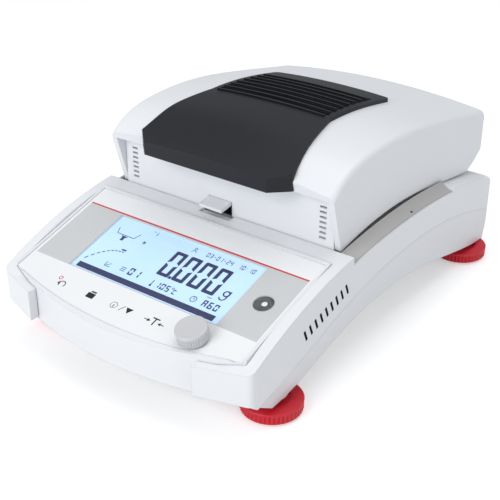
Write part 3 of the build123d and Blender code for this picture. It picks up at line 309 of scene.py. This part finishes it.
def ring(mesh, centre, inner, outer, low, high, place, start=0.0, stop=360.0, steps=40):
    """Closed ring or arc between two radii, as a loop of prisms."""
    full = stop - start >= 360.0
    turns = [math.radians(start + (stop - start) * i / steps) for i in range(steps + 1)]
    if full:
        turns = turns[:-1]
    loops = []
    for angle in turns:
        loops.append([
            mesh.verts.new(place(centre[0] + r * math.cos(angle), centre[1] + r * math.sin(angle), w))
            for r, w in ((inner, low), (outer, low), (outer, high), (inner, high))
        ])
    last = len(loops) if full else len(loops) - 1
    for i in range(last):
        a, b = loops[i], loops[(i + 1) % len(loops)]
        for k in range(4):
            mesh.faces.new((a[k], a[(k + 1) % 4], b[(k + 1) % 4], b[k]))
    if not full:
        mesh.faces.new(loops[0])
        mesh.faces.new(loops[-1][::-1])


def bar(start, end, width):
    """Outline of a straight stroke between two (u, v) points."""
    a, b = Vector(start), Vector(end)
    along = (b - a).normalized()
    side = Vector((-along.y, along.x)) * width / 2
    return [tuple(a - side), tuple(b - side), tuple(b + side), tuple(a + side)]


def lathe(mesh, profile, centre, steps, place, ripple=None):
    """Turns (radius, height) points round an axis; ripple(angle, radius, index) may change the radius."""
    rows = []
    for index, (radius, height) in enumerate(profile):
        row = []
        for i in range(steps):
            angle = 2 * math.pi * i / steps
            r = ripple(angle, radius, index) if ripple else radius
            row.append(mesh.verts.new(place(
                centre[0] + r * math.cos(angle), centre[1] + r * math.sin(angle), height)))
        rows.append(row)
    for low, high in zip(rows, rows[1:]):
        for i in range(steps):
            j = (i + 1) % steps
            mesh.faces.new((low[i], low[j], high[j], high[i]))
    mesh.faces.new(rows[0][::-1])
    mesh.faces.new(rows[-1])


def on_bench(x, y, z):
    """Point in the frame for plain coordinates in mm."""
    return Vector((x, y, z)) * MM


PIECE_ANGLE = 32.0  # edges above this angle stay sharp, in degrees
CAD_ANGLE = 28.0


def smooth(piece, angle=PIECE_ANGLE):
    """Smooth shading with sharp edges kept above an angle."""
    for face in piece.data.polygons:
        face.use_smooth = True
    piece.data.set_sharp_from_angle(angle=math.radians(angle))


# Display marks
SEGMENTS = {
    "0": "abcdef", "1": "bc", "2": "abged", "3": "abgcd", "4": "fgbc", "5": "afgcd", "6": "afgedc",
    "A": "abcefg", "C": "adef",
}


def digit(mesh, sign, u, v, width, height, stroke, low, high):
    """Seven-segment sign with its lower left corner at (u, v)."""
    gap = stroke * 0.12
    half = height / 2
    inset = stroke * 0.75

    def level_bar(y, drop_low, drop_high):
        return [(gap, y), (inset, y + drop_high), (width - inset, y + drop_high), (width - gap, y),
                (width - inset, y - drop_low), (inset, y - drop_low)]

    def post(x, bottom, top, inner):
        return [(x, bottom + gap), (x + inner, bottom + inset), (x + inner, top - inset), (x, top - gap)]

    shapes = {
        "a": level_bar(height, stroke, 0.0), "d": level_bar(0.0, 0.0, stroke),
        "g": level_bar(half, stroke / 2, stroke / 2),
        "f": post(0.0, half, height, stroke), "e": post(0.0, 0.0, half, stroke),
        "b": post(width, half, height, -stroke), "c": post(width, 0.0, half, -stroke),
    }
    for key in SEGMENTS[sign]:
        outline = []
        for x, y in shapes[key]:
            point = (u + x, v + y)
            if not outline or (Vector(point) - Vector(outline[-1])).length > 1e-4:
                outline.append(point)
        if (Vector(outline[0]) - Vector(outline[-1])).length < 1e-4:
            outline.pop()
        prism(mesh, outline, low, high, on_panel)


def word(mesh, signs, u, v, width, height, stroke, pitch, low, high):
    """Row of seven-segment signs; a blank leaves a gap and a dot stands between two signs."""
    for sign in signs:
        if sign == ".":
            size = min(stroke, 0.8 * (pitch - width))
            left = u - (pitch - width + size) / 2
            prism(mesh, [(left, v), (left + size, v), (left + size, v + size), (left, v + size)],
                  low, high, on_panel)
            continue
        if sign == "-":
            prism(mesh, bar((u + 0.2 * width, v + height / 2), (u + 0.8 * width, v + height / 2), stroke),
                  low, high, on_panel)
        elif sign == ":":
            for share in (0.3, 0.7):
                prism(mesh, bar((u + 0.3 * width, v + share * height), (u + 0.5 * width, v + share * height),
                                stroke), low, high, on_panel)
        elif sign != " ":
            digit(mesh, sign, u, v, width, height, stroke, low, high)
        u += pitch


MARK_T = 0.03
LOW, HIGH = DISPLAY_DEEP, DISPLAY_DEEP + MARK_T
# Rows of signs: text, lower left corner, then width, height, stroke and pitch of a sign
ROWS = (
    ("0.000", (-2.7, -36.4), 9.6, 23.5, 2.7, 12.4),
    ("01", (-20.6, -45.4), 3.8, 6.4, 1.08, 5.4),
    ("105", (4.2, -46.6), 3.0, 5.2, 0.84, 4.1),
    ("C", (18.4, -46.6), 2.6, 3.9, 0.74, 3.4),
    ("A60", (42.4, -46.6), 3.2, 5.6, 0.95, 4.5),
    ("03-01-24", (17.6, -9.0), 1.9, 3.8, 0.46, 2.75),
    ("10:10", (43.6, -9.0), 1.9, 3.8, 0.46, 2.75),
)
# Rings and arcs: centre, inner and outer radius, first and last angle, steps
RINGS = (
    ((17.3, -42.2), 0.45, 0.85, 0.0, 360.0, 16),  # degree sign
    ((51.6, -31.0), 1.6, 2.6, 0.0, 360.0, 28),  # unit sign
    ((50.9, -34.6), 1.8, 2.7, 190.0, 350.0, 16),
    ((34.9, -43.8), 2.0, 2.5, 0.0, 360.0, 28),  # clock
    ((7.6, -6.0), 0.7, 1.1, 0.0, 360.0, 20),  # user
    ((7.6, -9.4), 1.5, 1.9, 0.0, 180.0, 14),
    ((0.9, -46.4), 0.2, 0.9, 0.0, 360.0, 16),  # temperature
)
# Straight strokes: start, end and width
STROKES = (
    ((53.7, -28.2), (53.2, -35.0), 1.0),  # unit sign
    ((-56.4, -11.0), (-54.2, -16.2), 0.5),  # pan
    ((-37.1, -11.0), (-39.3, -16.2), 0.5),
    ((-54.2, -16.2), (-39.3, -16.2), 0.5),
    ((-39.5, -28.2), (-35.6, -28.2), 1.2),
    ((34.9, -43.8), (34.9, -42.2), 0.4),  # clock
    ((34.9, -43.8), (36.1, -43.8), 0.4),
    ((-27.6, -41.2), (-23.6, -41.2), 0.5),  # profile
    ((-27.6, -42.7), (-23.6, -42.7), 0.5),
    ((-27.6, -44.2), (-23.6, -44.2), 0.5),
    ((-40.4, -41.4), (-40.4, -45.4), 0.45),
    ((-40.4, -45.4), (-35.8, -45.4), 0.45),
    ((-39.4, -44.6), (-36.2, -42.2), 0.45),
    ((0.9, -41.6), (0.9, -46.6), 0.6),  # temperature
    ((-30.4, -4.4), (-28.6, -4.4), 0.4),
    ((-26.4, -4.2), (-26.4, -7.4), 0.5),
    ((41.6, -38.4), (45.4, -38.4), 0.45),
)
PAN_STEM = [(-49.8, -17.0), (-43.8, -17.0), (-45.6, -18.4), (-45.6, -21.4), (-48.0, -21.4), (-48.0, -18.4)]
STAR_UV = Vector((-29.6, -16.4))
STAR_R = 1.6
STAR_STROKE = 0.45
CURVE_UV, CURVE_SPAN = (-58.4, -46.0), (23.0, 16.0)
CURVE_BEND = 2.4
CURVE_DASHES = 9
DASH_SHARE = 0.07
DASH_STROKE = 0.75


def curve_point(share):
    """Point of the drying curve, which rises fast and levels off."""
    rise = 1 - (1 - share) ** CURVE_BEND
    return CURVE_UV[0] + CURVE_SPAN[0] * share, CURVE_UV[1] + CURVE_SPAN[1] * rise


marks = bmesh.new()
for text, corner, width, height, stroke, pitch in ROWS:
    word(marks, text, *corner, width, height, stroke, pitch, LOW, HIGH)
for centre, inner, outer, first, last, steps in RINGS:
    ring(marks, centre, inner, outer, LOW, HIGH, on_panel, first, last, steps)
for first, last, width in STROKES:
    prism(marks, bar(first, last, width), LOW, HIGH, on_panel)
prism(marks, PAN_STEM, LOW, HIGH, on_panel)
for third in range(3):
    angle = math.pi * third / 3
    arm = Vector((math.cos(angle), math.sin(angle))) * STAR_R
    prism(marks, bar(STAR_UV - arm, STAR_UV + arm, STAR_STROKE), LOW, HIGH, on_panel)
for step in range(CURVE_DASHES):
    share = step / CURVE_DASHES
    prism(marks, bar(curve_point(share), curve_point(share + DASH_SHARE), DASH_STROKE), LOW, HIGH, on_panel)
add_mesh("display_marks", marks, INK, "base")

band = bmesh.new()
BAR_OUTLINE = [(-58.7, -54.0), (57.4, -54.0), (57.4, -49.4), (-58.7, -49.4)]
prism(band, BAR_OUTLINE, LOW, HIGH, on_panel)
add_mesh("display_bar", band, INK, "base")

# Signs of the keys, printed on the overlay
INK_LOW, INK_HIGH = 0.0, 0.02
signs = bmesh.new()
ring(signs, (-53.2, -72.6), 1.6, 2.1, INK_LOW, INK_HIGH, on_panel, -40.0, 230.0, 24)
prism(signs, [(-56.1, -73.0), (-54.3, -73.2), (-55.3, -71.2)], INK_LOW, INK_HIGH, on_panel)
prism(signs, [(-29.6, -73.8), (-25.0, -73.8), (-25.0, -70.6), (-29.6, -70.6)], INK_LOW, INK_HIGH, on_panel)
prism(signs, [(-28.8, -70.2), (-25.6, -70.2), (-25.2, -69.3), (-28.4, -69.3)], INK_LOW, INK_HIGH, on_panel)
ring(signs, (-5.4, -71.8), 1.7, 1.95, INK_LOW, INK_HIGH, on_panel, steps=28)
prism(signs, bar((-5.4, -73.0), (-5.4, -71.4), 0.45), INK_LOW, INK_HIGH, on_panel)
prism(signs, [(1.6, -70.2), (5.8, -70.2), (3.7, -73.6)], INK_LOW, INK_HIGH, on_panel)
prism(signs, bar((-1.4, -73.6), (0.6, -70.0), 0.35), INK_LOW, INK_HIGH, on_panel)
prism(signs, bar((24.2, -69.6), (28.4, -69.6), 0.7), INK_LOW, INK_HIGH, on_panel)
prism(signs, bar((26.3, -69.6), (26.3, -73.8), 0.7), INK_LOW, INK_HIGH, on_panel)
for side in (-1, 1):
    tip = 26.3 + side * 2.2
    prism(signs, bar((tip + side * 3.6, -71.8), (tip + side * 1.4, -71.8), 0.45), INK_LOW, INK_HIGH, on_panel)
    prism(signs, [(tip, -71.8), (tip + side * 1.7, -70.8), (tip + side * 1.7, -72.8)],
          INK_LOW, INK_HIGH, on_panel)
SIGN_MIDDLES = (-54.2, -27.3, -0.2, 26.3)
SIGN_V = -71.8
SIGN_GROWTH = 1.35
POWER_DOT_UV = (-57.6, -68.6)
for vertex in signs.verts:
    nearest = min(SIGN_MIDDLES, key=lambda u: abs(vertex.co.x / MM - u))
    middle = on_panel(nearest, SIGN_V, INK_LOW)
    vertex.co = middle + (vertex.co - middle) * SIGN_GROWTH
add_mesh("key_signs", signs, DARK_INK, "base")
power_dot = bmesh.new()
ring(power_dot, POWER_DOT_UV, 1.05, 1.6, INK_LOW, INK_HIGH, on_panel, steps=24)
add_mesh("power_dot", power_dot, RED_INK, "base")

# Level: rim, target ring and bubble
rim = bmesh.new()
lathe(rim, [(7.05, -0.75), (7.05, 0.0), (6.95, 0.18), (6.72, 0.12), (6.62, -0.75)], LEVEL_UV, 64, on_panel)
smooth(add_mesh("level_rim", rim, MATERIALS["knob_metal"], "base"))
target = bmesh.new()
ring(target, LEVEL_UV, 2.8, 2.98, -0.78, -0.72, on_panel)
add_mesh("level_target", target, DARK_INK, "base")
BUBBLE_SHIFT = (0.4, 0.3)
bubble = bmesh.new()
lathe(bubble, [(1.9, -0.78), (1.85, -0.62), (1.4, -0.42), (0.7, -0.32), (0.05, -0.30)],
      (LEVEL_UV[0] + BUBBLE_SHIFT[0], LEVEL_UV[1] + BUBBLE_SHIFT[1]), 32, on_panel)
smooth(add_mesh("level_bubble", bubble, BUBBLE, "base"))

# Knob with ribs round its side and a plain rounded cap
RIBS = 40
KNOB_LOW = 1.4
RIB_DEPTH = 0.45
RIB_SHARP = 1.5
KNOB_PROFILE = [
    (3.1, 0.0), (9.7, 0.0), (10.0, 0.3), (10.2, 0.6), (10.25, 2.2), (10.2, 4.9), (10.25, 5.8), (10.28, 6.1),
    (10.28, 7.25), (10.1, 7.8), (9.7, 8.12), (9.25, 8.28), (8.85, 8.3), (8.45, 8.23), (3.8, 8.18),
    (0.05, 8.16),
]


def knob_ripple(angle, radius, index):
    """Rounded ribs on the lower side of the knob."""
    if 3 <= index <= 6:
        return radius - RIB_DEPTH * (0.5 + 0.5 * math.cos(RIBS * angle)) ** RIB_SHARP
    return radius


knob = bmesh.new()
lathe(knob, [(r, KNOB_LOW + h) for r, h in KNOB_PROFILE], KNOB_UV, RIBS * 8, on_panel, knob_ripple)
knob_piece = add_mesh("knob_ribbed", knob, MATERIALS["knob_metal"], "turn")
smooth(knob_piece)
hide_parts("knob")

# Fluted wheels on their threaded studs
FLUTES = 44
FLUTE_OUT = 0.3
FLUTE_DEPTH = 1.0
FLUTE_SHARP = 1.6
WHEEL_PROFILE = [
    (2.56, 7.3), (2.56, 3.0), (9.3, 3.0), (9.3, 1.2), (18.9, 1.2), (19.6, 1.5), (19.9, 2.0), (19.95, 4.6),
    (19.95, 6.9), (20.15, 7.5), (20.4, 7.9), (20.4, 8.5), (20.0, 9.0), (19.3, 9.2), (12.0, 9.2), (11.2, 8.6),
    (6.4, 8.6), (5.6, 9.2), (3.9, 9.2),
]
THREAD_PITCH = 1.25
THREAD_LOW = 9.4
THREAD_TURNS = 15
ROOT_R, CREST_R = 3.45, 3.98
threads = []
for count in range(THREAD_TURNS):
    level = THREAD_LOW + count * THREAD_PITCH
    threads += [(ROOT_R, level), (CREST_R, level + 0.45), (CREST_R, level + 0.6), (ROOT_R, level + 1.1)]
WHEEL_PROFILE += threads + [(3.3, 29.2)]


def wheel_ripple(angle, radius, index):
    """Scallops round the rim under a plain lip."""
    if 6 <= index <= 8:
        return radius + FLUTE_OUT - FLUTE_DEPTH * (0.5 + 0.5 * math.cos(FLUTES * angle)) ** FLUTE_SHARP
    return radius


for name, (x, y) in FEET.items():
    wheel = bmesh.new()
    lathe(wheel, WHEEL_PROFILE, (x, y), FLUTES * 8, on_bench, wheel_ripple)
    wheel_piece = add_mesh(f"{name}_fluted", wheel, MATERIALS["red_wheel"], f"{name}_wheel")
    smooth(wheel_piece)
    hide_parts(f"{name}_wheel")

# Dark faces inside the cooling slots
SLOT_LOW = Vector((100.5, -103.0, 44.0)) * MM
SLOT_HIGH = Vector((106.5, -44.0, 72.0)) * MM
housing = NODES["upper_housing"].data
housing.materials.append(SHADE)
for face in housing.polygons:
    spot = Vector((abs(face.center.x), face.center.y, face.center.z))
    if abs(face.normal.x) < 0.5 and all(a < b < c for a, b, c in zip(SLOT_LOW, spot, SLOT_HIGH)):
        face.material_index = 1

# The housing's arms end beside the middle of the bowed front
ARM_END_X = 69.0
CUT_FRONT_Y, CUT_BACK_Y = -171.0, -150.0
CUT_LOW_Z, CUT_HIGH_Z = 20.0, 60.0
cutter_mesh = bmesh.new()
prism(cutter_mesh, [(-ARM_END_X, CUT_FRONT_Y), (ARM_END_X, CUT_FRONT_Y), (ARM_END_X, CUT_BACK_Y),
                    (-ARM_END_X, CUT_BACK_Y)], CUT_LOW_Z, CUT_HIGH_Z, on_bench)
cutter = make_object("arm_end_cutter", cutter_mesh)
cutter.hide_render = True
arm_ends = NODES["upper_housing"].modifiers.new("arm_ends", "BOOLEAN")
arm_ends.operation = "DIFFERENCE"
arm_ends.object = cutter
crisp = NODES["upper_housing"].modifiers.new("crisp_edges", "EDGE_SPLIT")
crisp.split_angle = math.radians(CAD_ANGLE)

# Small dark rest in the right channel strip
rest = bmesh.new()
REST_XY = (101.0, 36.0)
lathe(rest, [(1.1, 81.4), (1.1, 82.2), (0.05, 82.25)], REST_XY, 24, on_bench)
add_mesh("strip_rest", rest, DARK_INK, "base")

# Painted shade: dark sheets behind the cooling slots, and the contacts of the sockets
SHADE_SHEET_X, SHADE_SHEET_T = 101.4, 0.5
SHADE_SHEET_FRONT_Y, SHADE_SHEET_BACK_Y = -101.0, -43.0
SHADE_SHEET_LOW_Z, SHADE_SHEET_HIGH_Z = 42.0, 68.0
CONTACT_FRONT_Y, CONTACT_BACK_Y = 155.2, 162.0
# Contacts: x, z, width and height
CONTACTS = (
    (-58.0, 51.5, 2.0, 4.0), (-65.0, 45.5, 2.0, 4.0), (-51.0, 45.5, 2.0, 4.0),
    (18.0, 48.0, 20.0, 3.4), (58.0, 49.0, 5.6, 2.0),
)
# These dark sheets are painted shade seen through the cooling slots
shade_sheets = bmesh.new()
for side in (-1, 1):
    inner, outer = side * SHADE_SHEET_X, side * (SHADE_SHEET_X + SHADE_SHEET_T)
    prism(shade_sheets, [(inner, SHADE_SHEET_FRONT_Y), (outer, SHADE_SHEET_FRONT_Y), (outer, SHADE_SHEET_BACK_Y),
                    (inner, SHADE_SHEET_BACK_Y)], SHADE_SHEET_LOW_Z, SHADE_SHEET_HIGH_Z, on_bench)
add_mesh("slot_shade_sheets", shade_sheets, SHADE, "base")

contacts = bmesh.new()
for x, z, width, height in CONTACTS:
    left, right = x - width / 2, x + width / 2
    prism(contacts, [(left, CONTACT_FRONT_Y), (right, CONTACT_FRONT_Y), (right, CONTACT_BACK_Y),
                     (left, CONTACT_BACK_Y)], z - height / 2, z + height / 2, on_bench)
add_mesh("socket_contacts", contacts, MATERIALS["steel"], "base")

# Smooth shading on the curved mouldings
for name in ("upper_housing", "base_tray", "control_housing", "control_overlay", "lid_shell", "heater_cover",
             "side_trims", "sample_pan", "draft_shield", "pan_handler", "reflector", "halogen_lamp",
             "glass_shield", "glass_retainer", "lid_liner", "pan_support", "lamp_sockets", "hinge_pins"):
    smooth(NODES[name], CAD_ANGLE)

# Floor and backdrop, white to the camera and in reflections, with the object's shadow kept
FLOOR_HALF = 3000.0
FLOOR_T = 6.0
FLOOR_GLOW = 0.40
ROOM_LIGHT = 0.50
floor_mesh = bmesh.new()
prism(floor_mesh, [(-FLOOR_HALF, -FLOOR_HALF), (FLOOR_HALF, -FLOOR_HALF), (FLOOR_HALF, FLOOR_HALF),
                   (-FLOOR_HALF, FLOOR_HALF)], -FLOOR_T, 0.0, on_bench)
floor = make_object("floor", floor_mesh)
floor_material = bpy.data.materials.new("floor_paper")
floor_material.use_nodes = True
tree = floor_material.node_tree
tree.nodes.clear()
output = tree.nodes.new("ShaderNodeOutputMaterial")
diffuse = tree.nodes.new("ShaderNodeBsdfDiffuse")
glow = tree.nodes.new("ShaderNodeEmission")
join = tree.nodes.new("ShaderNodeAddShader")
path = tree.nodes.new("ShaderNodeLightPath")
pick = tree.nodes.new("ShaderNodeMixShader")
seen = tree.nodes.new("ShaderNodeMath")
seen.operation = "MAXIMUM"
seen_all = tree.nodes.new("ShaderNodeMath")
seen_all.operation = "MAXIMUM"
paper = object_noise(tree, 60.0, 3.0)
tree.links.new(mix_colours(tree, paper, (0.80, 0.80, 0.805), (0.81, 0.81, 0.815)), diffuse.inputs["Color"])
glow.inputs["Color"].default_value = (1.0, 1.0, 1.0, 1.0)
glow.inputs["Strength"].default_value = FLOOR_GLOW
tree.links.new(diffuse.outputs["BSDF"], join.inputs[0])
tree.links.new(glow.outputs["Emission"], join.inputs[1])
tree.links.new(path.outputs["Is Camera Ray"], seen.inputs[0])
tree.links.new(path.outputs["Is Glossy Ray"], seen.inputs[1])
tree.links.new(seen.outputs["Value"], seen_all.inputs[0])
tree.links.new(path.outputs["Is Transmission Ray"], seen_all.inputs[1])
tree.links.new(seen_all.outputs["Value"], pick.inputs["Fac"])
tree.links.new(diffuse.outputs["BSDF"], pick.inputs[1])
tree.links.new(join.outputs["Shader"], pick.inputs[2])
tree.links.new(pick.outputs["Shader"], output.inputs["Surface"])
floor.data.materials.append(floor_material)

world = bpy.data.worlds.new("studio")
bpy.context.scene.world = world
world.use_nodes = True
tree = world.node_tree
tree.nodes.clear()
output = tree.nodes.new("ShaderNodeOutputWorld")
room = tree.nodes.new("ShaderNodeBackground")
backdrop = tree.nodes.new("ShaderNodeBackground")
pick = tree.nodes.new("ShaderNodeMixShader")
path = tree.nodes.new("ShaderNodeLightPath")
room.inputs["Color"].default_value = (0.93, 0.96, 1.0, 1.0)
room.inputs["Strength"].default_value = ROOM_LIGHT
backdrop.inputs["Color"].default_value = (1.0, 1.0, 1.0, 1.0)
backdrop.inputs["Strength"].default_value = 1.0
tree.links.new(path.outputs["Is Camera Ray"], pick.inputs["Fac"])
tree.links.new(room.outputs["Background"], pick.inputs[1])
tree.links.new(backdrop.outputs["Background"], pick.inputs[2])
tree.links.new(pick.outputs["Shader"], output.inputs["Surface"])


def area_light(name, place, target, size, power):
    """Square soft light aimed at a point."""
    data = bpy.data.lights.new(name, "AREA")
    data.size = size
    data.energy = power
    lamp = bpy.data.objects.new(name, data)
    lamp.location = place
    aim = Vector(target) - Vector(place)
    lamp.rotation_euler = aim.to_track_quat("-Z", "Y").to_euler()
    bpy.context.scene.collection.objects.link(lamp)


# Lamps: name, place, target, size and power
LAMPS = (
    ("key", (-0.15, -1.40, 0.80), (0, -0.02, 0.06), 0.9, 12.0),
    ("top", (0.10, 0.35, 1.45), (0, 0, 0.05), 1.1, 7.0),
    ("side", (1.35, -0.30, 0.65), (0, 0, 0.06), 0.9, 2.4),
)
for lamp_facts in LAMPS:
    area_light(*lamp_facts)

# Camera at the photograph's place
AZIMUTH = math.radians(37.13)
ELEVATION = math.radians(28.18)
LENS_PX = 1003.6
IMAGE_PX = 500.0
SENSOR = 36.0
CAMERA_PLACE = Vector((0.3849, -0.5212, 0.3823))
camera_data = bpy.data.cameras.new("camera")
camera_data.sensor_width = SENSOR
camera_data.lens = SENSOR * LENS_PX / IMAGE_PX
camera = bpy.data.objects.new("camera", camera_data)
bpy.context.scene.collection.objects.link(camera)
back = Vector((
    math.sin(AZIMUTH) * math.cos(ELEVATION), -math.cos(AZIMUTH) * math.cos(ELEVATION), math.sin(ELEVATION)))
right = Vector((math.cos(AZIMUTH), math.sin(AZIMUTH), 0.0))
upward = back.cross(right)
turn = Matrix((right, upward, back)).transposed().to_4x4()
camera.matrix_world = Matrix.Translation(CAMERA_PLACE) @ turn
bpy.context.scene.camera = camera
bpy.context.scene.view_settings.view_transform = "Standard"
